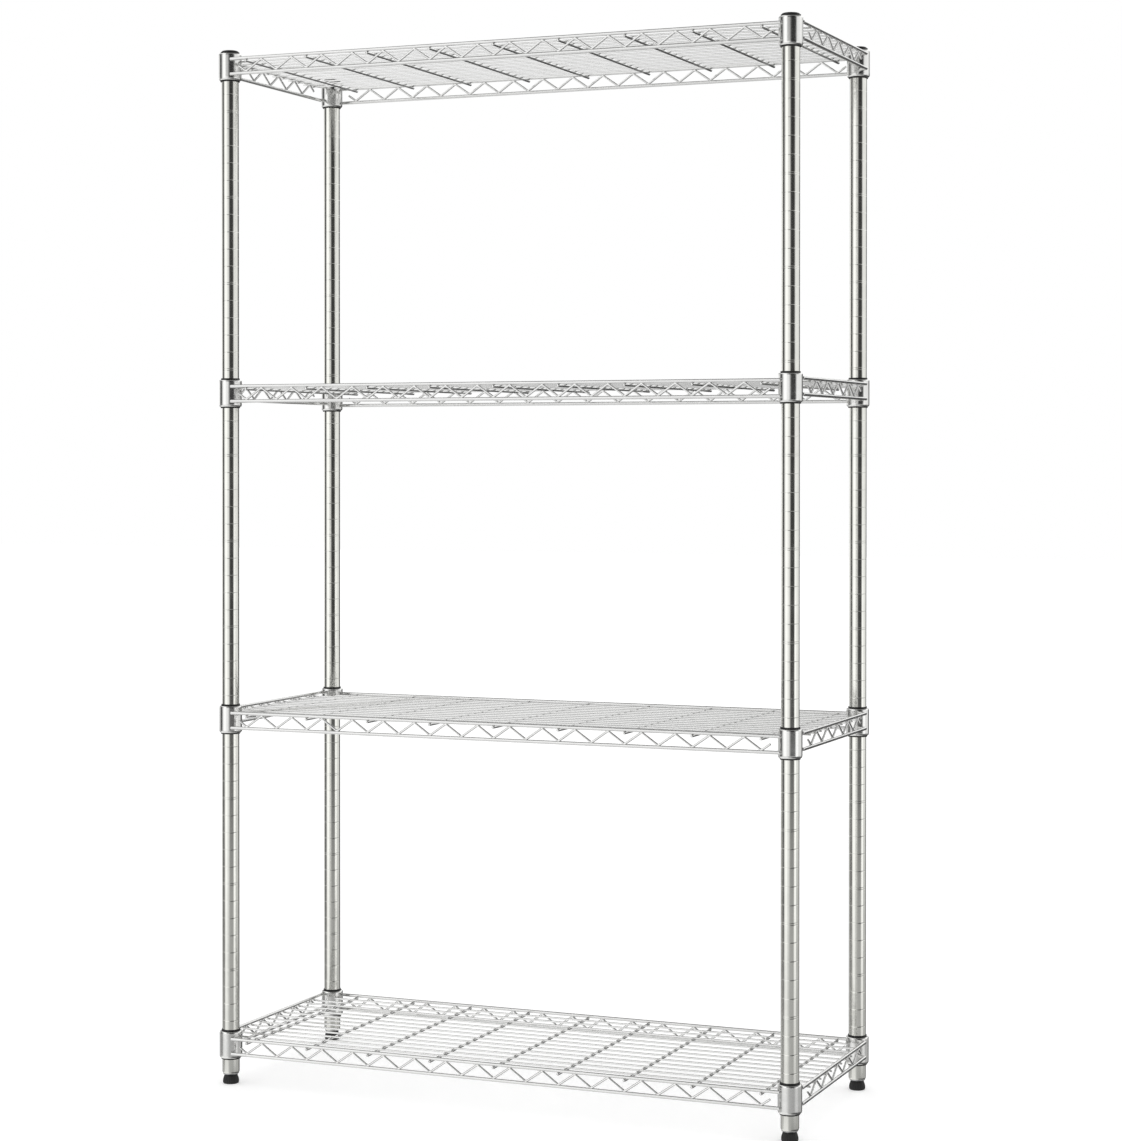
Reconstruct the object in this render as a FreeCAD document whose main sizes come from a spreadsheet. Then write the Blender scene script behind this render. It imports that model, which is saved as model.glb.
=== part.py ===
import FreeCAD, Part
import math
import os
import Sketcher

# Four-tier chrome wire shelving unit on four grooved posts.
# Millimetres, +Z up, front towards -Y, origin on the floor under the middle of the unit.
doc = FreeCAD.newDocument("WireShelvingUnit")

# Driving sizes. Names that end in _r are radii, names that end in _z are heights.
SIZES = (
    # Where the posts and the shelves stand
    ("post_gap_x", 872.0),
    ("post_gap_y", 316.0),
    ("groove_pitch", 25.4),
    ("grooves_per_shelf", 19),
    ("seat_z", 68.6),
    # Post: a drawn tube, rolled in at its lower end
    ("post_r", 12.7),
    ("post_bore_r", 11.6),
    ("post_low_z", 16.0),
    ("post_roll_z", 18.2),
    ("post_roll_r", 11.9),
    ("post_top_z", 1527.4),
    # Cap: a low dome with a plug that fits the top of the post
    ("cap_crown_r", 10.4),
    ("cap_top_z", 1529.8),
    ("cap_plug_z", 1512.0),
    # Threaded insert in the foot of the post
    ("insert_low_z", 14.0),
    ("insert_top_z", 38.0),
    # Levelling foot: a stud and the faceted grip that is moulded around its lower end
    ("foot_facets", 12),
    ("stud_r", 4.0),
    ("socket_low_z", 3.0),
    ("stud_low_z", 3.1),
    ("stud_top_z", 34.0),
    ("stud_bore_r", 4.08),
    ("foot_sole_r", 10.8),
    ("foot_rim_r", 11.9),
    ("foot_rim_low_z", 1.6),
    ("foot_rim_high_z", 5.0),
    ("foot_neck_r", 9.3),
    ("foot_top_z", 13.6),
    # Collar of a shelf: curled in at both ends, with a seat that widens downwards
    ("collar_r", 16.75),
    ("collar_rise", 40.0),
    ("collar_curl_low_z", 4.4),
    ("collar_curl_high_z", 36.6),
    ("collar_low_r", 15.4),
    ("collar_top_r", 14.9),
    ("collar_over_seat", 10.2),
    # Split sleeve: two half shells that wedge between the post and the seat of the collar
    ("seat_facets", 12),
    ("seat_gap", 0.1),
    ("sleeve_bore_r", 12.75),
    ("sleeve_low_r", 14.3),
    ("sleeve_top_r", 13.75),
    ("sleeve_rise", 44.0),
    ("sleeve_drop", 2.0),
    ("sleeve_split", 0.6),
    # Rim wires and the zigzag between them
    ("rim_dia", 5.0),
    ("rim_facets", 8),
    ("rim_rise", 22.0),
    ("rim_out", 14.6),
    ("long_rim_z", 8.0),
    ("end_rim_z", 11.0),
    ("wire_facets", 6),
    ("truss_dia", 3.2),
    ("truss_pitch", 50.0),
    ("long_truss_bends", 33),
    ("end_truss_bends", 10),
    # Shelf mat: cross wires under the long rims, mat wires on the cross wires and under the end rims
    ("cross_dia", 4.0),
    ("cross_pitch", 100.0),
    ("cross_count", 9),
    ("mat_dia", 3.0),
    ("mat_pitch", 24.5),
    ("mat_count", 13),
    ("wire_overhang", 3.5),
)

SHELVES = ("bottom", "lower", "upper", "top")
CORNERS = {
    "front_left": (-1, -1),
    "front_right": (1, -1),
    "rear_left": (-1, 1),
    "rear_right": (1, 1),
}
Y_AXIS = FreeCAD.Vector(0, 1, 0)
Z_AXIS = FreeCAD.Vector(0, 0, 1)

sheet = doc.addObject("Spreadsheet::Sheet", "Sizes")
for row, (alias, number) in enumerate(SIZES, start=1):
    sheet.set(f"A{row}", alias)
    sheet.set(f"B{row}", str(number))
    sheet.setAlias(f"B{row}", alias)
doc.recompute()


def size(alias):
    """A driving size from the sheet."""
    return float(sheet.get(alias))


def bind(item, **formulas):
    """Drive properties of an object by formulas. A dollar sign marks an alias of the sheet."""
    for path, formula in formulas.items():
        item.setExpression(path, formula.replace("$", "Sizes."))


def move(item, x="0", y="0", z="0"):
    """Drive an object's position by formulas."""
    for axis, formula in (("x", x), ("y", y), ("z", z)):
        item.setExpression(f".Placement.Base.{axis}", formula.replace("$", "Sizes."))


def turn(item, axis, degrees):
    """Turn an object about its own origin, keeping its place."""
    item.Placement.Rotation = FreeCAD.Rotation(axis, degrees)


def group(label, members):
    """One named object that holds separate solids."""
    item = doc.addObject("Part::Compound", label)
    item.Label = label
    item.Links = members
    return item


# Turned pieces
def origin_feature(body, role):
    return next(item for item in body.Origin.OriginFeatures if item.Role == role)


def outline_sketch(body, name, corners):
    """Closed outline in the XZ plane. A corner is a pair of aliases, radius and height, 0 on an axis."""
    axis_lines = {"X": -2, "Y": -1}
    sketch = body.newObject("Sketcher::SketchObject", name)
    sketch.AttachmentSupport = (origin_feature(body, "XZ_Plane"), [""])
    sketch.MapMode = "FlatFace"
    points = [
        FreeCAD.Vector(*(size(alias) if alias else 0.0 for alias in corner), 0) for corner in corners
    ]
    for index, point in enumerate(points):
        sketch.addGeometry(Part.LineSegment(point, points[(index + 1) % len(points)]), False)
    for index in range(len(points)):
        following = (index + 1) % len(points)
        sketch.addConstraint(Sketcher.Constraint("Coincident", index, 2, following, 1))
    for index, corner in enumerate(corners):
        for axis, alias in zip("XY", corner):
            if not alias:
                sketch.addConstraint(Sketcher.Constraint("PointOnObject", index, 1, axis_lines[axis]))
                continue
            rule = Sketcher.Constraint(f"Distance{axis}", -1, 1, index, 1, size(alias))
            number = sketch.addConstraint(rule)
            sketch.setExpression(f"Constraints[{number}]", f"Sizes.{alias}")
    return sketch


def turned(name, corners):
    """Body turned about Z from an outline."""
    body = doc.addObject("PartDesign::Body", name)
    sketch = outline_sketch(body, name + "_outline", corners)
    feature = body.newObject("PartDesign::Revolution", name + "_turned")
    feature.Profile = sketch
    feature.ReferenceAxis = (sketch, ["V_Axis"])
    feature.Angle = 360
    return body


def make_post():
    return turned(
        "post",
        (
            ("post_bore_r", "post_low_z"),
            ("post_roll_r", "post_low_z"),
            ("post_r", "post_roll_z"),
            ("post_r", "post_top_z"),
            ("post_bore_r", "post_top_z"),
        ),
    )


def make_cap():
    return turned(
        "cap",
        (
            (0, "cap_plug_z"),
            ("post_bore_r", "cap_plug_z"),
            ("post_bore_r", "post_top_z"),
            ("post_r", "post_top_z"),
            ("cap_crown_r", "cap_top_z"),
            (0, "cap_top_z"),
        ),
    )


# Faceted pieces
def faceted(name, facets, rings):
    """Solid with flat sides through level polygons. A ring is a pair: radius to its flats, height."""
    count = int(size(facets))
    levels = []
    for radius, height in rings:
        reach = radius / math.cos(math.pi / count)
        angles = [2 * math.pi * index / count for index in range(count)]
        points = [FreeCAD.Vector(reach * math.cos(a), reach * math.sin(a), height) for a in angles]
        levels.append(points)
    outlines = [levels[0], levels[-1]]
    for low, high in zip(levels, levels[1:]):
        for index in range(count):
            following = (index + 1) % count
            outlines.append([low[index], low[following], high[following], high[index]])
    faces = [Part.Face(Part.makePolygon([*outline, outline[0]])) for outline in outlines]
    item = doc.addObject("Part::Feature", name)
    item.Shape = Part.Solid(Part.Shell(faces))
    return item


def cut(name, base, tool):
    item = doc.addObject("Part::Cut", name)
    item.Base = base
    item.Tool = tool
    return item


def make_insert():
    """Threaded insert that fills the foot of the post, with a bore for the stud."""
    flats = size("post_bore_r") * math.cos(math.pi / size("foot_facets"))
    low = size("insert_low_z")
    top = size("insert_top_z")
    bore = size("stud_bore_r")
    block = faceted("insert_block", "foot_facets", ((flats, low), (flats, top)))
    return cut("insert", block, faceted("insert_bore", "foot_facets", ((bore, low - 1), (bore, top + 1))))


def make_foot_stud():
    stud = doc.addObject("Part::Prism", "foot_stud")
    bind(stud, Polygon="$foot_facets", Circumradius="$stud_r", Height="$stud_top_z - $stud_low_z")
    move(stud, z="$stud_low_z")
    return stud


def make_foot_base():
    """Faceted grip with a socket for the stud."""
    top = size("foot_top_z")
    rings = (
        (size("foot_sole_r"), 0),
        (size("foot_rim_r"), size("foot_rim_low_z")),
        (size("foot_rim_r"), size("foot_rim_high_z")),
        (size("foot_neck_r"), top),
    )
    bore = size("stud_bore_r")
    socket_rings = ((bore, size("socket_low_z")), (bore, top + 1))
    grip = faceted("foot_grip", "foot_facets", rings)
    return cut("foot_base", grip, faceted("foot_socket", "foot_facets", socket_rings))


def make_collar():
    """Shelf collar standing on its lower edge, its seat a small gap outside the sleeve."""
    shell = turned(
        "collar_shell",
        (
            (0, 0),
            ("collar_low_r", 0),
            ("collar_r", "collar_curl_low_z"),
            ("collar_r", "collar_curl_high_z"),
            ("collar_top_r", "collar_rise"),
            (0, "collar_rise"),
        ),
    )
    drop = size("sleeve_drop")
    seat_rings = [(radius + size("seat_gap"), height - drop) for radius, height in wedge_rings()]
    return cut("collar", shell, faceted("collar_seat", "seat_facets", seat_rings))


def wedge_rings():
    """The outer taper of a sleeve standing on its lower edge."""
    return (size("sleeve_low_r"), 0), (size("sleeve_top_r"), size("sleeve_rise"))


def make_sleeve_half():
    """Half of a tapered split sleeve standing on its lower edge, on the +X side of the post."""
    bore = size("sleeve_bore_r")
    bore_rings = ((bore, -1), (bore, size("sleeve_rise") + 1))
    wedge = faceted("sleeve_wedge", "seat_facets", wedge_rings())
    ring = cut("sleeve_ring", wedge, faceted("sleeve_bore", "seat_facets", bore_rings))
    other_half = doc.addObject("Part::Box", "sleeve_other_half")
    bind(other_half, Length="2 * $collar_r", Width="4 * $collar_r", Height="2 * $sleeve_rise")
    move(other_half, x="$sleeve_split / 2 - 2 * $collar_r", y="-2 * $collar_r", z="-$sleeve_rise / 2")
    return cut("sleeve_half", ring, other_half)


# Wires
def straight_wire(name, dia, facets, length):
    """Wire with flats on its top and bottom, along X and centred on the origin."""
    wire = doc.addObject("Part::Prism", name)
    bind(
        wire,
        Polygon=f"${facets}",
        Circumradius=f"${dia} / 2 / cos(180 deg / ${facets})",
        Height=length,
    )
    flats_up = FreeCAD.Rotation(Z_AXIS, 180 / size(facets))
    wire.Placement.Rotation = FreeCAD.Rotation(Y_AXIS, 90) * flats_up
    move(wire, x=f"-({length}) / 2")
    return wire


def rim_wire(name, post_gap):
    """Rim wire along X whose ends reach the two collars beside it."""
    inner_edge = "($rim_out - $rim_dia / 2)"
    clear = f"sqrt($collar_r ^ 2 - {inner_edge} ^ 2)"
    return straight_wire(name, "rim_dia", "rim_facets", f"${post_gap} - 2 * {clear}")


def zigzag(name, bends):
    """Zigzag wire in the XZ plane between the rims, from a lower bend on, with half legs at its ends."""
    half_pitch = size("truss_pitch") / 2
    wire_dia = size("truss_dia")
    gap = size("rim_rise") - size("rim_dia")
    lean = 1 - (wire_dia / half_pitch) ** 2
    rise = (gap - math.sqrt(gap**2 - lean * (gap**2 - wire_dia**2))) / lean
    low = (size("rim_rise") - rise) / 2
    count = int(size(bends))
    first_x = -(count - 1) * half_pitch / 2
    heights = (low, low + rise)
    bend_points = [
        FreeCAD.Vector(first_x + index * half_pitch, 0, heights[index % 2]) for index in range(count)
    ]
    end_x = abs(first_x) + half_pitch / 2
    middle = low + rise / 2
    path = doc.addObject("Part::Polygon", name + "_path")
    path.Nodes = [FreeCAD.Vector(-end_x, 0, middle), *bend_points, FreeCAD.Vector(end_x, 0, middle)]
    section = doc.addObject("Part::RegularPolygon", name + "_section")
    bind(section, Polygon="$wire_facets", Circumradius="$truss_dia / 2 / cos(180 deg / $wire_facets)")
    along = (path.Nodes[1] - path.Nodes[0]).normalize()
    facing = FreeCAD.Rotation(Y_AXIS, Z_AXIS.cross(Y_AXIS), along, "ZXY")
    section.Placement = FreeCAD.Placement(path.Nodes[0], facing)
    sweep = doc.addObject("Part::Sweep", name)
    sweep.Sections = [section]
    sweep.Spine = path
    sweep.Solid = True
    sweep.Transition = "Right corner"
    return sweep


def at_corner(name, template, x_sign, y_sign):
    """Copy of a turned piece at a post, or under it."""
    copy = group(name, [template])
    move(copy, x=f"{x_sign} * $post_gap_x / 2", y=f"{y_sign} * $post_gap_y / 2")
    return copy


def front_and_rear(name, template, z):
    """Two copies of a wire along the front and the rear of the shelf."""
    pair = []
    for side, sign in (("front", -1), ("rear", 1)):
        copy = group(f"{name}_{side}", [template])
        move(copy, y=f"{sign} * ($post_gap_y / 2 + $rim_out)", z=z)
        pair.append(copy)
    return pair


def right_and_left(name, template, z):
    """Two copies of a wire along the ends of the shelf, both turned the same way."""
    pair = []
    for side, sign in (("right", 1), ("left", -1)):
        copy = group(f"{name}_{side}", [template])
        turn(copy, Z_AXIS, 90)
        move(copy, x=f"{sign} * ($post_gap_x / 2 + $rim_out)", z=z)
        pair.append(copy)
    return pair


# Pieces of one shelf, standing on the lower edge of its collars
def shelf_pieces():
    collar = make_collar()
    collars = [at_corner(f"collar_{name}", collar, *signs) for name, signs in CORNERS.items()]

    long_rim = rim_wire("long_rim", "post_gap_x")
    end_rim = rim_wire("end_rim", "post_gap_y")
    long_rims = front_and_rear("long_rim_low", long_rim, "$long_rim_z")
    long_rims += front_and_rear("long_rim_high", long_rim, "$long_rim_z + $rim_rise")
    end_rims = right_and_left("end_rim_low", end_rim, "$end_rim_z")
    end_rims += right_and_left("end_rim_high", end_rim, "$end_rim_z + $rim_rise")

    long_zigzag = zigzag("long_zigzag", "long_truss_bends")
    end_zigzag = zigzag("end_zigzag", "end_truss_bends")
    long_trusses = front_and_rear("long_truss", long_zigzag, "$long_rim_z")
    end_trusses = right_and_left("end_truss", end_zigzag, "$end_rim_z")

    under_rim = "$long_rim_z + $rim_rise - $rim_dia / 2"
    cross_length = "$post_gap_y + 2 * ($rim_out + $wire_overhang)"
    cross_wire = straight_wire("cross_wire", "cross_dia", "wire_facets", cross_length)
    cross_wires = []
    for index in range(int(size("cross_count"))):
        copy = group(f"cross_wire_{index + 1}", [cross_wire])
        turn(copy, Z_AXIS, 90)
        place = f"({index} - ($cross_count - 1) / 2) * $cross_pitch"
        move(copy, x=place, z=under_rim + " - $cross_dia / 2")
        cross_wires.append(copy)

    mat_length = "$post_gap_x + 2 * ($rim_out + $wire_overhang)"
    mat_wire = straight_wire("mat_wire", "mat_dia", "wire_facets", mat_length)
    outer_edge = "($mat_count - 1) / 2 * $mat_pitch + $mat_dia / 2 / cos(180 deg / $wire_facets)"
    collar_reach = f"sqrt($collar_r ^ 2 - ($post_gap_y / 2 - ({outer_edge})) ^ 2)"
    outer_length = f"$post_gap_x - 2 * ({collar_reach} + $seat_gap)"
    outer_mat_wire = straight_wire("outer_mat_wire", "mat_dia", "wire_facets", outer_length)
    mat_count = int(size("mat_count"))
    mat_wires = []
    for index in range(mat_count):
        between_collars = index in (0, mat_count - 1)
        copy = group(f"mat_wire_{index + 1}", [outer_mat_wire if between_collars else mat_wire])
        place = f"({index} - ($mat_count - 1) / 2) * $mat_pitch"
        move(copy, y=place, z=under_rim + " + $mat_dia / 2")
        mat_wires.append(copy)

    return {
        "collars": collars,
        "long_rims": long_rims,
        "end_rims": end_rims,
        "long_trusses": long_trusses,
        "end_trusses": end_trusses,
        "cross_wires": cross_wires,
        "mat_wires": mat_wires,
    }


def sleeve_halves():
    """The split sleeves of one shelf, standing on their lower edges."""
    half = make_sleeve_half()
    halves = []
    for name, signs in CORNERS.items():
        for side, degrees in (("inner", 0), ("outer", 180)):
            copy = at_corner(f"sleeve_{name}_{side}", half, *signs)
            turn(copy, Z_AXIS, degrees)
            halves.append(copy)
    return halves


# Assembly
nodes = []
own_nodes = {"post": make_post(), "foot_stud": make_foot_stud(), "foot_base": make_foot_base()}
for piece, template in own_nodes.items():
    for corner, signs in CORNERS.items():
        nodes.append(at_corner(f"{piece}_{corner}", template, *signs))
shared_nodes = {"cap": make_cap(), "insert": make_insert()}
for piece, template in shared_nodes.items():
    copies = [at_corner(f"{piece}_{corner}", template, *signs) for corner, signs in CORNERS.items()]
    nodes.append(group(f"{piece}s", copies))

pieces = shelf_pieces()
sleeves = sleeve_halves()
for level, shelf in enumerate(SHELVES):
    seat = f"$seat_z + {level} * $groove_pitch * $grooves_per_shelf"
    collar_low = seat + " + $collar_over_seat - $collar_rise"
    for piece, members in pieces.items():
        node = group(f"{shelf}_shelf_{piece}", members)
        move(node, z=collar_low)
        nodes.append(node)
    node = group(f"{shelf}_sleeves", sleeves)
    move(node, z=collar_low + " - $sleeve_drop")
    nodes.append(node)

doc.recompute()
for item in doc.Objects:
    if "Invalid" in item.State or "Error" in item.State:
        raise RuntimeError(f"{item.Label} failed: {item.State}")
for node in nodes:
    if node.Shape.isNull() or not node.Shape.isValid() or not node.Shape.Solids:
        raise RuntimeError(f"{node.Label} has no valid solid")

os.makedirs("parts", exist_ok=True)
for node in nodes:
    node.Shape.exportStep(f"parts/{node.Label}.step")
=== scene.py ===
import math

import bmesh
import bpy
from mathutils import Matrix, Vector


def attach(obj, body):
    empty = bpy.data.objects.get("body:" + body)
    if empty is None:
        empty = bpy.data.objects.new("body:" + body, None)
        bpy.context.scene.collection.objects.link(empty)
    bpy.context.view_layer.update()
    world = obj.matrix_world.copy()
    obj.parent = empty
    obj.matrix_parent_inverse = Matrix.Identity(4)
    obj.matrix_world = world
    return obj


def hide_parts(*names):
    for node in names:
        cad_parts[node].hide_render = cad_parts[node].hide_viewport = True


# Four-tier chrome wire shelving unit, dressed over its solids. Metres, +Z up, front towards -Y.
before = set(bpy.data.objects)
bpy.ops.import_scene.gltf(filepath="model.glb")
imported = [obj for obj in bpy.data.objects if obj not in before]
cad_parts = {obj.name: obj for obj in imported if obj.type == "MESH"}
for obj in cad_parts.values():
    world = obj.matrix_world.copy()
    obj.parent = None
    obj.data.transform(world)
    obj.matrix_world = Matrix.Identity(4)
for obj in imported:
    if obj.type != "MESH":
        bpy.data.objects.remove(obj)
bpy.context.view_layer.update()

MM = 0.001
TAU = 2 * math.pi
ROUND_ANGLE = math.radians(22)
WIRE_ANGLE = math.radians(60)
POST_X = 436 * MM
POST_Y = 158 * MM
CORNERS = {
    "front_left": (-POST_X, -POST_Y),
    "front_right": (POST_X, -POST_Y),
    "rear_left": (-POST_X, POST_Y),
    "rear_right": (POST_X, POST_Y),
}
SHELVES = ("bottom", "lower", "upper", "top")
FIRST_SHELF_Z = 38.8 * MM
SHELF_STEP = 482.6 * MM


# Forms: a form is a pair of its points and its faces
class Shape:
    """Points and faces of one piece, gathered from several forms."""

    def __init__(self):
        self.points = []
        self.faces = []

    def add(self, form, place=Matrix()):
        points, faces = form
        first = len(self.points)
        self.points += [place @ Vector(point) for point in points]
        self.faces += [[first + index for index in face] for face in faces]


def arc(centre, radii, start, end, steps):
    """Pairs of radius and height along part of an ellipse, with its angles in degrees."""
    pairs = []
    for step in range(steps + 1):
        angle = math.radians(start + (end - start) * step / steps)
        pairs.append((centre[0] + radii[0] * math.cos(angle), centre[1] + radii[1] * math.sin(angle)))
    return pairs


def turned(profile, sides, closed=False):
    """Form turned about Z from pairs of radius and height in millimetres, which go up the outside."""
    points = []
    rows = []
    for radius, height in profile:
        if radius == 0:
            rows.append([len(points)] * sides)
            points.append((0, 0, height * MM))
            continue
        rows.append([len(points) + side for side in range(sides)])
        for side in range(sides):
            angle = TAU * side / sides
            points.append((radius * MM * math.cos(angle), radius * MM * math.sin(angle), height * MM))
    pairs = list(zip(rows, rows[1:]))
    if closed:
        pairs.append((rows[-1], rows[0]))
    faces = []
    for low, high in pairs:
        for side in range(sides):
            after = (side + 1) % sides
            corners = [low[side], low[after], high[after], high[side]]
            faces.append(list(dict.fromkeys(corners)))
    return points, faces


def turned_part(profile, sides, start, end):
    """Closed form turned about Z from a closed profile through part of a turn, with flat ends."""
    points = []
    for side in range(sides + 1):
        angle = start + (end - start) * side / sides
        for radius, height in profile:
            points.append((radius * MM * math.cos(angle), radius * MM * math.sin(angle), height * MM))
    count = len(profile)
    faces = [list(range(count)), list(range(sides * count, (sides + 1) * count))]
    for side in range(sides):
        for row in range(count):
            after = (row + 1) % count
            near = side * count
            far = near + count
            faces.append([near + row, far + row, far + after, near + after])
    return points, faces


END_BAND = 0.4 * MM
DOME_ANGLES = (30, 55, 75)


def wire(path, radius, across, sides, dome):
    """Round wire with rounded ends, along a path in a plane.

    Across is the normal of that plane, and dome the length of a rounded end.
    """
    path = [Vector(point) for point in path]
    across = Vector(across)
    count = len(path)
    rings = []
    for index, point in enumerate(path):
        before = path[max(index - 1, 0)]
        after = path[min(index + 1, count - 1)]
        rings.append((point, (after - before).normalized(), radius))
    for end, sign in ((0, -1), (-1, 1)):
        point, along, _ = rings[end]
        tips = [(point - along * sign * END_BAND, along, radius), rings[end]]
        for degrees in DOME_ANGLES:
            angle = math.radians(degrees)
            tips.append((point + along * sign * dome * math.sin(angle), along, radius * math.cos(angle)))
        rings = list(reversed(tips)) + rings[1:] if sign < 0 else rings[:-1] + tips
    points = []
    for point, along, reach in rings:
        up = along.cross(across)
        for side in range(sides):
            angle = TAU * side / sides
            points.append(point + across * (reach * math.cos(angle)) + up * (reach * math.sin(angle)))
    last = (len(rings) - 1) * sides
    faces = [list(range(sides)), list(range(last, last + sides))]
    for ring in range(len(rings) - 1):
        for side in range(sides):
            after = (side + 1) % sides
            near = ring * sides
            far = near + sides
            faces.append([near + side, near + after, far + after, far + side])
    return points, faces


def rounded(corners, bend, steps):
    """Path through corners with an arc of the given radius at each inner one."""
    path = [Vector(corners[0])]
    for before, corner, after in zip(corners, corners[1:], corners[2:]):
        corner = Vector(corner)
        come = (corner - Vector(before)).normalized()
        leave = (Vector(after) - corner).normalized()
        half_turn = come.angle(leave) / 2
        middle = corner + (leave - come).normalized() * (bend / math.cos(half_turn))
        reach = corner - come * (bend * math.tan(half_turn)) - middle
        axis = come.cross(leave).normalized()
        for step in range(steps + 1):
            path.append(middle + Matrix.Rotation(2 * half_turn * step / steps, 3, axis) @ reach)
    path.append(Vector(corners[-1]))
    return path


WELD_PROFILE = [(0, -1), (0.62, -0.78), (1, 0), (0.62, 0.78), (0, 1)]
WELD_SIDES = 8
WELD = turned(WELD_PROFILE, WELD_SIDES)


def add_weld(shape, place, reach):
    """Small smooth bead of metal where two wires are welded."""
    scale = [size / MM for size in reach]
    shape.add(WELD, Matrix.Translation(place) @ Matrix.Diagonal((*scale, 1)))


# Materials
def link(tree, value, socket):
    if isinstance(value, bpy.types.NodeSocket):
        tree.links.new(value, socket)
    else:
        socket.default_value = value


def calculate(tree, operation, *values, clamp=False):
    node = tree.nodes.new("ShaderNodeMath")
    node.operation = operation
    node.use_clamp = clamp
    for value, socket in zip(values, node.inputs):
        link(tree, value, socket)
    return node.outputs[0]


def spread(tree, value, low, high, to_low, to_high):
    """Value taken from one range to another, held at its ends."""
    node = tree.nodes.new("ShaderNodeMapRange")
    node.interpolation_type = "SMOOTHSTEP"
    for item, socket in zip((value, low, high, to_low, to_high), node.inputs):
        link(tree, item, socket)
    return node.outputs[0]


EVEN = (1, 1, 1)


def noise(tree, coordinates, stretch, scale, detail):
    mapping = tree.nodes.new("ShaderNodeMapping")
    mapping.inputs["Scale"].default_value = stretch
    tree.links.new(coordinates, mapping.inputs["Vector"])
    node = tree.nodes.new("ShaderNodeTexNoise")
    node.inputs["Scale"].default_value = scale
    node.inputs["Detail"].default_value = detail
    tree.links.new(mapping.outputs[0], node.inputs["Vector"])
    return node.outputs["Fac"]


CLOUD_BAND = (0.3, 0.7)
CLOUD_DETAIL = 4
ROUGH_BAND = (0.35, 0.65)
GRAIN_DETAIL = 3


def surface(name, tones, rough, grain, cloud_scale, bump, metallic=0.0):
    """Material whose colour and roughness drift in soft clouds, with a fine grain in its relief.

    Tones and rough are pairs of ends, grain is a stretch and a scale, and bump is a strength and a
    depth in millimetres.
    """
    material = bpy.data.materials.new(name)
    material.use_nodes = True
    tree = material.node_tree
    shader = tree.nodes["Principled BSDF"]
    coordinates = tree.nodes.new("ShaderNodeTexCoord").outputs["Object"]
    stretch, grain_scale = grain
    clouds = noise(tree, coordinates, EVEN, cloud_scale, CLOUD_DETAIL)
    lines = noise(tree, coordinates, stretch, grain_scale, GRAIN_DETAIL)
    ramp = tree.nodes.new("ShaderNodeMix")
    ramp.data_type = "RGBA"
    tree.links.new(spread(tree, clouds, *CLOUD_BAND, 0, 1), ramp.inputs["Factor"])
    ramp.inputs["A"].default_value = (*tones[0], 1)
    ramp.inputs["B"].default_value = (*tones[1], 1)
    tree.links.new(ramp.outputs["Result"], shader.inputs["Base Color"])
    mixed = calculate(tree, "MULTIPLY_ADD", clouds, 0.5, calculate(tree, "MULTIPLY", lines, 0.5))
    tree.links.new(spread(tree, mixed, *ROUGH_BAND, *rough), shader.inputs["Roughness"])
    relief = tree.nodes.new("ShaderNodeBump")
    strength, distance = bump
    relief.inputs["Strength"].default_value = strength
    relief.inputs["Distance"].default_value = distance * MM
    tree.links.new(lines, relief.inputs["Height"])
    tree.links.new(relief.outputs["Normal"], shader.inputs["Normal"])
    shader.inputs["Metallic"].default_value = metallic
    return material


def grey(level, blue=1.0):
    return level, level, level * blue


# Tones
TUBE_CHROME = (grey(0.82, 0.945), grey(0.87, 0.945))
COLLAR_CHROME = (grey(0.835, 0.98), grey(0.885, 0.98))
WIRE_CHROME = (grey(0.845, 0.99), grey(0.895, 0.99))
# Long rims: the wire chrome painted darker, a painted shade on the rims
SHADED_RIM_CHROME = (grey(0.745, 0.99), grey(0.795, 0.99))
# Wires along Y: the wire chrome painted darker than along X, a painted shade
SHADED_SIDE_CHROME = (grey(0.77, 0.99), grey(0.82, 0.99))
SLEEVE_BLACK = (grey(0.006), grey(0.012))
CAP_BLACK = (grey(0.007), grey(0.014))
FOOT_BLACK = (grey(0.010), grey(0.018))
INSERT_ZINC = (grey(0.45), grey(0.56))
STUD_ZINC = (grey(0.48), grey(0.6))
FLOOR_WHITE = (grey(0.79), grey(0.81))

# Roughness
POST_ROUGH = (0.10, 0.16)
COLLAR_ROUGH = (0.12, 0.20)
WIRE_ROUGH = (0.14, 0.22)
SLEEVE_ROUGH = (0.42, 0.55)
CAP_ROUGH = (0.36, 0.5)
FOOT_ROUGH = (0.45, 0.6)
INSERT_ROUGH = (0.28, 0.4)
STUD_ROUGH = (0.25, 0.38)
FLOOR_ROUGH = (0.9, 1.0)

# Grain
POST_GRAIN = ((1, 1, 0.02), 900)
COLLAR_GRAIN = ((0.15, 0.15, 1), 1500)
LONG_GRAIN = ((0.03, 1, 1), 1400)
SIDE_GRAIN = ((1, 0.03, 1), 1400)
SLEEVE_GRAIN = (EVEN, 2500)
CAP_GRAIN = (EVEN, 2200)
FOOT_GRAIN = (EVEN, 1800)
ZINC_GRAIN = ((0.3, 0.3, 1), 1500)
FLOOR_GRAIN = (EVEN, 60)

# Scale of the clouds
POST_CLOUDS = 40
COLLAR_CLOUDS = 60
WIRE_CLOUDS = 50
MOULD_CLOUDS = 120
ZINC_CLOUDS = 90
FLOOR_CLOUDS = 4

# Relief
POST_BUMP = (0.05, 0.05)
COLLAR_BUMP = (0.06, 0.05)
WIRE_BUMP = (0.05, 0.05)
SLEEVE_BUMP = (0.15, 0.05)
CAP_BUMP = (0.2, 0.06)
FOOT_BUMP = (0.25, 0.08)
ZINC_BUMP = (0.1, 0.06)
FLOOR_BUMP = (0.02, 0.1)

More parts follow.
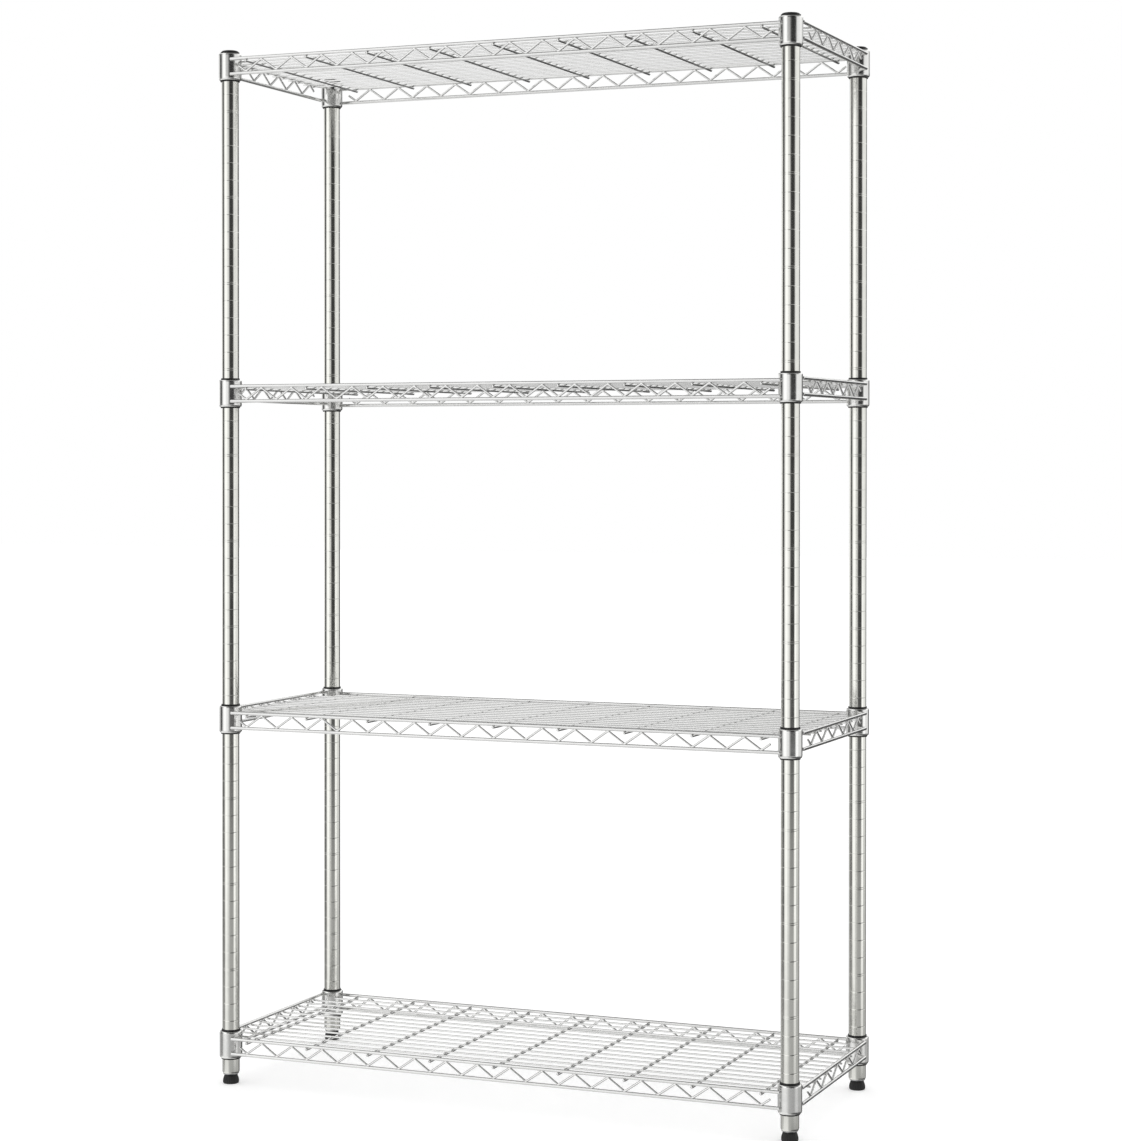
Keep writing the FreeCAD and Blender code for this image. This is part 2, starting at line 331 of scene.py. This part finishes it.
METAL = 1.0
post_chrome = surface("post_chrome", TUBE_CHROME, POST_ROUGH, POST_GRAIN, POST_CLOUDS, POST_BUMP, METAL)
collar_chrome = surface(
    "collar_chrome", COLLAR_CHROME, COLLAR_ROUGH, COLLAR_GRAIN, COLLAR_CLOUDS, COLLAR_BUMP, METAL
)
long_chrome = surface("long_wire_chrome", WIRE_CHROME, WIRE_ROUGH, LONG_GRAIN, WIRE_CLOUDS, WIRE_BUMP, METAL)
# Wires along Y take a darker chrome with its own grain: painted shade and real grain
shaded_side_chrome = surface("shaded_side_wire_chrome", SHADED_SIDE_CHROME, WIRE_ROUGH, SIDE_GRAIN, WIRE_CLOUDS, WIRE_BUMP, METAL)
# Rims take a darker copy of the long wire chrome: painted shade
shaded_rim_chrome = surface("shaded_rim_chrome", SHADED_RIM_CHROME, WIRE_ROUGH, LONG_GRAIN, WIRE_CLOUDS, WIRE_BUMP, METAL)
sleeve_plastic = surface(
    "sleeve_plastic", SLEEVE_BLACK, SLEEVE_ROUGH, SLEEVE_GRAIN, MOULD_CLOUDS, SLEEVE_BUMP
)
cap_plastic = surface("cap_plastic", CAP_BLACK, CAP_ROUGH, CAP_GRAIN, MOULD_CLOUDS, CAP_BUMP)
foot_plastic = surface("foot_plastic", FOOT_BLACK, FOOT_ROUGH, FOOT_GRAIN, MOULD_CLOUDS, FOOT_BUMP)
insert_steel = surface("insert_steel", INSERT_ZINC, INSERT_ROUGH, ZINC_GRAIN, ZINC_CLOUDS, ZINC_BUMP, METAL)
stud_steel = surface("stud_steel", STUD_ZINC, STUD_ROUGH, ZINC_GRAIN, ZINC_CLOUDS, ZINC_BUMP, METAL)


# Pieces
def mesh_of(name, shape, material, sharp):
    mesh = bpy.data.meshes.new(name)
    mesh.from_pydata(shape.points, [], shape.faces)
    work = bmesh.new()
    work.from_mesh(mesh)
    bmesh.ops.recalc_face_normals(work, faces=work.faces)
    work.to_mesh(mesh)
    work.free()
    mesh.shade_smooth()
    mesh.set_sharp_from_angle(angle=sharp)
    mesh.materials.append(material)
    return mesh


def piece(name, mesh, body, nodes, place=(0, 0, 0)):
    item = bpy.data.objects.new(name, mesh)
    bpy.context.scene.collection.objects.link(item)
    item.location = place
    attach(item, body)
    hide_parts(*nodes)
    return item


def at_corners(form):
    """Shape of four copies of a form, one at each post."""
    shape = Shape()
    for x, y in CORNERS.values():
        shape.add(form, Matrix.Translation((x, y, 0)))
    return shape


# Posts: drawn tubes with an index groove every inch, every fifth one double
POST_R = 12.7
POST_BORE_R = 11.6
POST_SIDES = 48
GROOVE_PITCH = 25.4
FIRST_GROOVE_Z = 1440.18
GROOVES = range(55, -4, -1)
DOUBLE_EVERY = 5
DOUBLE_OFFSET = 1.3
# Half the width of a groove and its depth
SINGLE_GROOVE = (0.55, 0.13)
DOUBLE_GROOVE = (0.45, 0.11)
GROOVE_FLAT = 0.25
GROOVE_SHOULDER = 0.2
POST_LOW_Z = 16.0
POST_INNER_Z = 17.0
POST_LIP = 0.1
POST_ROLL = 2.6
POST_TOP_Z = 1527.4
POST_EDGE = 0.3


def groove(height, half_width, depth):
    shoulder = half_width + GROOVE_SHOULDER
    flat = half_width * GROOVE_FLAT
    return [
        (POST_R, height - shoulder),
        (POST_R, height - half_width),
        (POST_R - depth, height - flat),
        (POST_R - depth, height + flat),
        (POST_R, height + half_width),
        (POST_R, height + shoulder),
    ]


def post_form():
    lip_r = POST_BORE_R + POST_LIP
    profile = [(POST_BORE_R, POST_INNER_Z)]
    profile += arc((lip_r, POST_LOW_Z + POST_ROLL), (POST_R - lip_r, POST_ROLL), -90, 0, 6)
    for number in GROOVES:
        height = FIRST_GROOVE_Z - number * GROOVE_PITCH
        if number % DOUBLE_EVERY:
            profile += groove(height, *SINGLE_GROOVE)
        else:
            profile += groove(height - DOUBLE_OFFSET, *DOUBLE_GROOVE)
            profile += groove(height + DOUBLE_OFFSET, *DOUBLE_GROOVE)
    profile += [(POST_R, POST_TOP_Z - POST_EDGE), (POST_R - POST_EDGE, POST_TOP_Z)]
    profile.append((POST_BORE_R, POST_TOP_Z))
    return turned(profile, POST_SIDES, closed=True)


post_shape = Shape()
post_shape.add(post_form())
post_mesh = mesh_of("grooved_post", post_shape, post_chrome, ROUND_ANGLE)
for corner, (x, y) in CORNERS.items():
    piece(f"grooved_post_{corner}", post_mesh, "frame", [f"post_{corner}"], (x, y, 0))

# Caps: low domes with a shallow dish in the crown
PLUG_R = 11.5
PLUG_LOW_Z = 1512.0
CAP_SEAT_Z = 1527.45
CAP_TOP_Z = 1530.6
SMALL_SIDES = 40
cap_profile = [(0, PLUG_LOW_Z), (PLUG_R - 0.6, PLUG_LOW_Z), (PLUG_R, PLUG_LOW_Z + 0.8)]
cap_profile += [(PLUG_R, CAP_SEAT_Z), (12.35, CAP_SEAT_Z)]
cap_profile += arc((12.1, CAP_SEAT_Z + 0.45), (0.55, 0.45), -60, 0, 3)
cap_profile += arc((10.3, CAP_TOP_Z - 2.4), (2.35, 2.4), 0, 78, 7)
cap_profile += [(9.0, CAP_TOP_Z), (7.4, CAP_TOP_Z - 0.1), (4.0, CAP_TOP_Z - 0.2), (0, CAP_TOP_Z - 0.2)]
cap_shape = at_corners(turned(cap_profile, SMALL_SIDES))
caps = mesh_of("post_caps", cap_shape, cap_plastic, ROUND_ANGLE)
piece("post_caps", caps, "frame", ["caps"])

# Threaded inserts in the feet of the posts
INSERT_R = 11.5
INSERT_BORE_R = 4.12
INSERT_MOUTH_R = 4.7
INSERT_LOW_Z = 14.0
INSERT_TOP_Z = 38.0
INSERT_EDGE = 0.6
insert_profile = [(INSERT_BORE_R, INSERT_LOW_Z + INSERT_EDGE), (INSERT_MOUTH_R, INSERT_LOW_Z)]
insert_profile += [(INSERT_R - INSERT_EDGE, INSERT_LOW_Z), (INSERT_R, INSERT_LOW_Z + INSERT_EDGE)]
insert_profile += [(INSERT_R, INSERT_TOP_Z), (INSERT_MOUTH_R, INSERT_TOP_Z)]
insert_profile += [(INSERT_BORE_R, INSERT_TOP_Z - INSERT_EDGE)]
insert_shape = at_corners(turned(insert_profile, SMALL_SIDES, closed=True))
inserts = mesh_of("threaded_inserts", insert_shape, insert_steel, ROUND_ANGLE)
piece("threaded_inserts", inserts, "frame", ["inserts"])

# Levelling feet: a threaded stud with a ribbed grip
STUD_R = 4.0
STUD_LOW_Z = 3.2
STUD_PLAIN_Z = 13.0
STUD_TOP_Z = 34.0
STUD_TIP = 0.5
STUD_SIDES = 24
STUD_ANGLE = math.radians(50)
THREAD_DEPTH = 0.55
THREAD_PITCH = 1.25
THREAD_ROWS = 6
THREAD_FLANK = 1.25
RIBS = 24
RIB_SIDES = 6
RIB_DEPTH = 0.5
RIB_SHARPNESS = 1.5
GRIP_ANGLE = math.radians(40)


def stud_form():
    """Stud with a helical thread, plain where it is moulded into the grip."""
    rows = [(STUD_LOW_Z, 0.0), (STUD_PLAIN_Z, 0.0)]
    thread_z = STUD_PLAIN_Z + STUD_TIP
    steps = int((STUD_TOP_Z - STUD_TIP - thread_z) / THREAD_PITCH * THREAD_ROWS)
    rows += [(thread_z + step * THREAD_PITCH / THREAD_ROWS, THREAD_DEPTH) for step in range(steps + 1)]
    points = [(0, 0, STUD_LOW_Z * MM)]
    for height, depth in rows:
        for side in range(STUD_SIDES):
            turn = side / STUD_SIDES
            phase = (height / THREAD_PITCH - turn) % 1.0
            radius = STUD_R - depth * min(1.0, THREAD_FLANK * abs(2 * phase - 1))
            angle = TAU * turn
            points.append((radius * MM * math.cos(angle), radius * MM * math.sin(angle), height * MM))
    faces = [[0, 1 + (side + 1) % STUD_SIDES, 1 + side] for side in range(STUD_SIDES)]
    for row in range(len(rows) - 1):
        for side in range(STUD_SIDES):
            after = (side + 1) % STUD_SIDES
            near = 1 + row * STUD_SIDES
            far = near + STUD_SIDES
            faces.append([near + side, near + after, far + after, far + side])
    tip = len(points)
    points.append((0, 0, STUD_TOP_Z * MM))
    rim = 1 + (len(rows) - 1) * STUD_SIDES
    faces += [[rim + side, rim + (side + 1) % STUD_SIDES, tip] for side in range(STUD_SIDES)]
    return points, faces


def grip_form():
    """Grip with rounded edges and upright ribs round its flared side.

    A row is a radius, a height and the share of the ribs' depth there.
    """
    rows = [(0, 0.35, 0), (7.4, 0.35, 0), (8.2, 0.0, 0), (10.0, 0.0, 0)]
    rows += [(radius, height, 0.0) for radius, height in arc((10.0, 1.9), (1.75, 1.9), -70, -25, 3)]
    side = [(11.88, 2.2, 0.6), (11.9, 3.2, 1.0), (11.9, 5.0, 1.0), (11.5, 7.0, 1.0), (10.9, 9.0, 1.0)]
    rows += side + [(10.2, 11.0, 0.9), (9.75, 12.2, 0.5), (9.45, 12.8, 0.15)]
    rows += [(radius, height, 0.0) for radius, height in arc((8.3, 12.7), (0.9, 0.9), 15, 90, 4)]
    rows += [(6.4, 13.6, 0.0), (5.9, 13.1, 0.0), (4.3, 13.0, 0.0), (4.05, 12.6, 0.0), (0, 12.6, 0.0)]
    sides = RIBS * RIB_SIDES
    points, faces = turned([(radius, height) for radius, height, _ in rows], sides)
    dents = {}
    for radius, height, share in rows:
        dents[round(height, 6), round(radius, 6)] = share
    shaped = []
    for x, y, z in points:
        reach = math.hypot(x, y) / MM
        share = dents.get((round(z / MM, 6), round(reach, 6)), 0.0)
        if share:
            wave = 0.5 - 0.5 * math.cos(math.atan2(y, x) * RIBS)
            shrink = 1 - RIB_DEPTH * share * wave**RIB_SHARPNESS / reach
            x *= shrink
            y *= shrink
        shaped.append((x, y, z))
    return shaped, faces


stud_shape = Shape()
stud_shape.add(stud_form())
stud_mesh = mesh_of("threaded_stud", stud_shape, stud_steel, STUD_ANGLE)
grip_shape = Shape()
grip_shape.add(grip_form())
grip_mesh = mesh_of("ribbed_grip", grip_shape, foot_plastic, GRIP_ANGLE)
for corner, (x, y) in CORNERS.items():
    place = (x, y, 0)
    stud_node = f"foot_stud_{corner}"
    grip_node = f"foot_base_{corner}"
    piece(f"threaded_stud_{corner}", stud_mesh, f"foot_screw_{corner}", [stud_node], place)
    piece(f"ribbed_grip_{corner}", grip_mesh, f"foot_grip_{corner}", [grip_node], place)


# Split sleeves: two tapered half shells each, with heights above the lower edge of the collars
SLEEVE_HALF_GAP = 0.3
SLEEVE_MIDDLE_R = 13.5
SLEEVE_SPLIT = math.asin(SLEEVE_HALF_GAP / SLEEVE_MIDDLE_R)
SLEEVE_SIDES = 20
SLEEVE_ANGLE = math.radians(35)
sleeve_profile = [(12.75, -1.7), (13.1, -2.0), (14.0, -2.0), (14.3, -1.7), (13.78, 41.7)]
sleeve_profile += arc((13.38, 41.7), (0.4, 0.4), 15, 90, 3)
sleeve_profile += [(13.05, 42.1), (12.75, 41.8)]


def sleeve_shape():
    shape = Shape()
    for x, y in CORNERS.values():
        for middle in (0, math.pi):
            start = middle - math.pi / 2 + SLEEVE_SPLIT
            end = middle + math.pi / 2 - SLEEVE_SPLIT
            shape.add(turned_part(sleeve_profile, SLEEVE_SIDES, start, end), Matrix.Translation((x, y, 0)))
    return shape


# Collars: tubes curled in at both ends
COLLAR_R = 16.75
CURL_R = 1.8
collar_profile = [(14.5, 0.9), (14.6, 0.3)]
collar_profile += arc((COLLAR_R - CURL_R, 3.8), (CURL_R, 3.8), -90, 0, 8)
collar_profile += [(COLLAR_R, 4.6), (COLLAR_R, 36.4)]
collar_profile += arc((COLLAR_R - CURL_R, 37.2), (CURL_R, 2.3), 0, 90, 8)
collar_profile += [(14.2, 39.3), (13.95, 38.7)]


def collar_shape():
    return at_corners(turned(collar_profile, POST_SIDES, closed=True))


# Wires of one shelf, with heights above the lower edge of its collars
RIM_R = 2.5 * MM
RIM_SIDES = 16
RIM_DOME = 1.6 * MM
RIM_OUT = 14.6 * MM
RIM_RISE = 22 * MM
RIM_END = 9.6 * MM
LONG_RIM_Z = 8 * MM
END_RIM_Z = 11 * MM
TRUSS_R = 1.6 * MM
TRUSS_SIDES = 12
TRUSS_DOME = 0.8 * MM
TRUSS_BEND = 3.6 * MM
BEND_STEPS = 6
SETTLE_STEPS = 20
HALF_PITCH = 25 * MM
LONG_BENDS = 33
END_BENDS = 10
CROSS_R = 2 * MM
CROSS_SIDES = 12
CROSS_STEP = 100 * MM
CROSS_PLACES = range(-4, 5)
MAT_R = 1.5 * MM
MAT_SIDES = 10
MAT_STEP = 24.5 * MM
MAT_SIDE = 6
MAT_END = 11.4 * MM
END_DOME = 0.5 * MM
OVERHANG = 3.5 * MM - END_DOME
# How far a wire sinks into the one that it is welded to
TRUSS_SINK = 0.9 * MM
CROSS_SINK = 0.2 * MM
MAT_SINK = 0.15 * MM
# Half sizes of the beads: along the zigzag, across it and upwards, or along X, Y and Z
TRUSS_BEAD = (2.6 * MM, 1.3 * MM, 0.9 * MM)
CROSS_BEAD = (2.3 * MM, 1.9 * MM, 0.9 * MM)
MAT_BEAD = (1.9 * MM, 1.7 * MM, 0.7 * MM)
MAT_RIM_BEAD = (1.8 * MM, 1.9 * MM, 0.7 * MM)
MAT_COLLAR_BEAD = (0.9 * MM, 1.8 * MM, 1.8 * MM)
COLLAR_BEAD_INSET = 1.6 * MM
SIDE_Y = POST_Y + RIM_OUT
SIDE_X = POST_X + RIM_OUT
UNDER_RIM = LONG_RIM_Z + RIM_RISE - RIM_R
X_DIR = Vector((1, 0, 0))
Y_DIR = Vector((0, 1, 0))
Z_DIR = Vector((0, 0, 1))


def zigzag(along, across, bends, low):
    """Bent wire between two rims, from a lower bend on, in the plane square to the direction across."""
    flush = RIM_R + TRUSS_R - TRUSS_SINK
    vertex = flush
    for _ in range(SETTLE_STEPS):
        lean = math.atan2(RIM_RISE - 2 * vertex, HALF_PITCH)
        vertex = flush - TRUSS_BEND * (1 / math.cos(lean) - 1)
    heights = (low + vertex, low + RIM_RISE - vertex)
    middle = low + RIM_RISE / 2
    places = [along * ((index - (bends - 1) / 2) * HALF_PITCH) for index in range(bends)]
    half_leg = along * (HALF_PITCH / 2)
    corners = [places[0] - half_leg + Z_DIR * middle]
    corners += [place + Z_DIR * heights[index % 2] for index, place in enumerate(places)]
    corners.append(places[-1] + half_leg + Z_DIR * middle)
    shape = Shape()
    path = rounded(corners, TRUSS_BEND, BEND_STEPS)
    shape.add(wire(path, TRUSS_R, across, TRUSS_SIDES, TRUSS_DOME))
    bead_length, bead_width, bead_rise = TRUSS_BEAD
    reach = along * bead_length + across * bead_width + Z_DIR * bead_rise
    for index, place in enumerate(places):
        height = low + RIM_RISE - RIM_R if index % 2 else low + RIM_R
        add_weld(shape, place + Z_DIR * height, reach)
    return shape


def pair(shape, offset):
    """Two copies of a shape on opposite sides of the shelf."""
    both = Shape()
    for sign in (-1, 1):
        both.add((shape.points, shape.faces), Matrix.Translation(offset * sign))
    return both


def rims(along, across, reach, low):
    """The four rim wires along one direction, their rounded ends on the faces of the collars."""
    shape = Shape()
    for side in (-1, 1):
        for height in (low, low + RIM_RISE):
            place = across * side + Z_DIR * height
            path = (place - along * reach, place + along * reach)
            shape.add(wire(path, RIM_R, Z_DIR, RIM_SIDES, RIM_DOME))
    return shape


def cross_shape():
    shape = Shape()
    height = UNDER_RIM - CROSS_R + CROSS_SINK
    reach = SIDE_Y + OVERHANG
    for index in CROSS_PLACES:
        place = X_DIR * (index * CROSS_STEP) + Z_DIR * height
        path = (place - Y_DIR * reach, place + Y_DIR * reach)
        shape.add(wire(path, CROSS_R, Z_DIR, CROSS_SIDES, END_DOME))
        for side in (-1, 1):
            spot = Vector((index * CROSS_STEP, side * SIDE_Y, UNDER_RIM))
            add_weld(shape, spot, CROSS_BEAD)
    return shape


def mat_shape():
    shape = Shape()
    height = UNDER_RIM + MAT_R - MAT_SINK
    for index in range(-MAT_SIDE, MAT_SIDE + 1):
        between_collars = abs(index) == MAT_SIDE
        reach = POST_X - MAT_END if between_collars else SIDE_X + OVERHANG
        place = Y_DIR * (index * MAT_STEP) + Z_DIR * height
        path = (place - X_DIR * reach, place + X_DIR * reach)
        shape.add(wire(path, MAT_R, Z_DIR, MAT_SIDES, END_DOME))
        for cross in CROSS_PLACES:
            spot = Vector((cross * CROSS_STEP, place.y, UNDER_RIM))
            add_weld(shape, spot, MAT_BEAD)
        for side in (-1, 1):
            if between_collars:
                spot = Vector((side * (reach - COLLAR_BEAD_INSET), place.y, height))
                add_weld(shape, spot, MAT_COLLAR_BEAD)
            else:
                spot = Vector((side * SIDE_X, place.y, END_RIM_Z + RIM_RISE - RIM_R))
                add_weld(shape, spot, MAT_RIM_BEAD)
    return shape


def wire_mesh(name, shape, material):
    return mesh_of(name, shape, material, WIRE_ANGLE)


collar_mesh = mesh_of("collar_tubes", collar_shape(), collar_chrome, ROUND_ANGLE)
sleeve_mesh = mesh_of("split_sleeves", sleeve_shape(), sleeve_plastic, SLEEVE_ANGLE)
long_rims = rims(X_DIR, Y_DIR * SIDE_Y, POST_X - RIM_END, LONG_RIM_Z)
end_rims = rims(Y_DIR, X_DIR * SIDE_X, POST_Y - RIM_END, END_RIM_Z)
long_zigzags = pair(zigzag(X_DIR, Y_DIR, LONG_BENDS, LONG_RIM_Z), Y_DIR * SIDE_Y)
end_zigzags = pair(zigzag(Y_DIR, X_DIR, END_BENDS, END_RIM_Z), X_DIR * SIDE_X)
SHELF_PIECES = (
    ("collar_tubes", "collars", collar_mesh, "collar_chrome"),
    ("long_rim_wires", "long_rims", wire_mesh("long_rims", long_rims, shaded_rim_chrome), "wire_chrome"),
    ("end_rim_wires", "end_rims", wire_mesh("end_rims", end_rims, shaded_side_chrome), "wire_chrome"),
    ("long_zigzags", "long_trusses", wire_mesh("long_zigzags", long_zigzags, long_chrome), "wire_chrome"),
    ("end_zigzags", "end_trusses", wire_mesh("end_zigzags", end_zigzags, shaded_side_chrome), "wire_chrome"),
    ("cross_bars", "cross_wires", wire_mesh("cross_bars", cross_shape(), shaded_side_chrome), "wire_chrome"),
    ("mat_bars", "mat_wires", wire_mesh("mat_bars", mat_shape(), long_chrome), "wire_chrome"),
)
for level, shelf in enumerate(SHELVES):
    place = (0, 0, FIRST_SHELF_Z + level * SHELF_STEP)
    for name, node, mesh, slot in SHELF_PIECES:
        piece(f"{shelf}_{name}", mesh, f"{shelf}_shelf", [f"{shelf}_shelf_{node}"], place)
    piece(f"{shelf}_split_sleeves", sleeve_mesh, "frame", [f"{shelf}_sleeves"], place)


# Floor
FLOOR_SIZE = 40.0
FLOOR_GLOW = 0.34
half = FLOOR_SIZE / 2
floor_corners = [(-half, -half, 0), (half, -half, 0), (half, half, 0), (-half, half, 0)]
floor_mesh = bpy.data.meshes.new("floor")
floor_mesh.from_pydata(floor_corners, [], [(0, 1, 2, 3)])
floor = bpy.data.objects.new("floor", floor_mesh)
bpy.context.scene.collection.objects.link(floor)
floor.visible_glossy = False
floor_paint = surface("floor_paint", FLOOR_WHITE, FLOOR_ROUGH, FLOOR_GRAIN, FLOOR_CLOUDS, FLOOR_BUMP)
floor_tree = floor_paint.node_tree
paint = floor_tree.nodes["Principled BSDF"]
paint.inputs["Specular IOR Level"].default_value = 0.0
paint.inputs["Emission Color"].default_value = (1, 1, 1, 1)
floor_rays = floor_tree.nodes.new("ShaderNodeLightPath")
glow = calculate(floor_tree, "MULTIPLY", floor_rays.outputs["Is Camera Ray"], FLOOR_GLOW)
floor_tree.links.new(glow, paint.inputs["Emission Strength"])
floor_mesh.materials.append(floor_paint)


# Studio: white for the camera. Metal shows a grey room with soft-edged softboxes and dark gaps
WALL = 0.46
CEILING = 0.12
GROUND = 0.68
CEILING_FADE = (45, 70)
GROUND_FADE = (-60, -30)
# A patch: left and right edge round the room and their softness, lowest and highest elevation and
# their softness, all in degrees, and its level
PATCHES = {
    "floor_light": (-82, 0, 14, -58, -12.5, 5, 0.9),
    "left_floor": (-155, -80, 15, -60, -29, 8, 1.1),
    "floor_gap": (34, 196, 20, -60, -19, 6, 0.1),
    "far_roof": (-190, -122, 12, 16, 64, 6, 0.15),
    "roof_light": (-127, 8, 15, 35, 57, 6, 1.25),
    "roof_gap": (25, 165, 20, 26, 60, 6, 0.28),
    "key_light": (-55, 9, 8, -10, 14, 3, 0.95),
    "key_column": (-47, -16, 9, -11.5, 40, 4, 1.2),
    "side_light": (76, 142, 9, -8.5, 18, 3, 0.9),
    "side_core": (67, 99, 8, -12.5, -1, 3, 1.2),
    "back_light": (-166, -103, 8, -5, 9, 4, 1.05),
    "left_gap": (-92, -66, 7, -12, 22, 3, 0.06),
    "low_left_gap": (-78, -66, 4, -15, -8, 3, 0.05),
    "front_gap": (19, 70, 8, -8, 14, 2.5, 0.05),
    "front_dim": (-16, 61, 8, 9.5, 44, 4, 0.02),
    "rear_gap": (155, 210, 8, -27, 11, 4, 0.07),
    "rear_light": (110, 212, 12, 10, 36, 4, 1.15),
}

world = bpy.data.worlds.new("studio")
bpy.context.scene.world = world
world.use_nodes = True
tree = world.node_tree
background = tree.nodes["Background"]
direction = tree.nodes.new("ShaderNodeSeparateXYZ")
tree.links.new(tree.nodes.new("ShaderNodeTexCoord").outputs["Generated"], direction.inputs[0])
toward_x, toward_y, toward_z = direction.outputs
toward_front = calculate(tree, "MULTIPLY", toward_y, -1.0)
azimuth = calculate(tree, "DEGREES", calculate(tree, "ARCTAN2", toward_x, toward_front))
elevation = calculate(tree, "DEGREES", calculate(tree, "ARCSINE", toward_z))


def cover(tone, level, share):
    """Tone of the room with part of it taken to another level."""
    return calculate(tree, "MULTIPLY_ADD", share, calculate(tree, "SUBTRACT", level, tone), tone)


tone = cover(WALL, CEILING, spread(tree, elevation, *CEILING_FADE, 0, 1))
tone = cover(tone, GROUND, spread(tree, elevation, *GROUND_FADE, 1, 0))
for left, right, side_edge, lowest, highest, level_edge, level in PATCHES.values():
    turn = calculate(tree, "WRAP", calculate(tree, "SUBTRACT", azimuth, (left + right) / 2), 180, -180)
    away = calculate(tree, "ABSOLUTE", turn)
    half_width = (right - left) / 2
    across = spread(tree, away, half_width - side_edge, half_width + side_edge, 1, 0)
    above = spread(tree, elevation, lowest - level_edge, lowest + level_edge, 0, 1)
    below = spread(tree, elevation, highest - level_edge, highest + level_edge, 1, 0)
    share = calculate(tree, "MULTIPLY", across, calculate(tree, "MULTIPLY", above, below))
    tone = cover(tone, level, share)
rays = tree.nodes.new("ShaderNodeLightPath")
shown = tree.nodes.new("ShaderNodeMix")
shown.data_type = "RGBA"
shown.inputs["A"].default_value = (1, 1, 1, 1)
tree.links.new(tone, shown.inputs["B"])
tree.links.new(rays.outputs["Is Glossy Ray"], shown.inputs["Factor"])
tree.links.new(shown.outputs["Result"], background.inputs["Color"])
background.inputs["Strength"].default_value = 1.0
world.cycles.sampling_method = "NONE"

# Camera
CAMERA_PLACE = (1.5424, -3.5210, 0.9277)
CAMERA_DEGREES = (89.500, -0.020, 22.258)
camera_data = bpy.data.cameras.new("camera")
camera_data.sensor_width = 36
camera_data.lens = 82.164
camera_data.shift_x = -0.03962
camera_data.shift_y = -0.07829
camera = bpy.data.objects.new("camera", camera_data)
camera.location = CAMERA_PLACE
camera.rotation_euler = [math.radians(degrees) for degrees in CAMERA_DEGREES]
bpy.context.scene.collection.objects.link(camera)
bpy.context.scene.camera = camera
bpy.context.scene.view_settings.view_transform = "Standard"
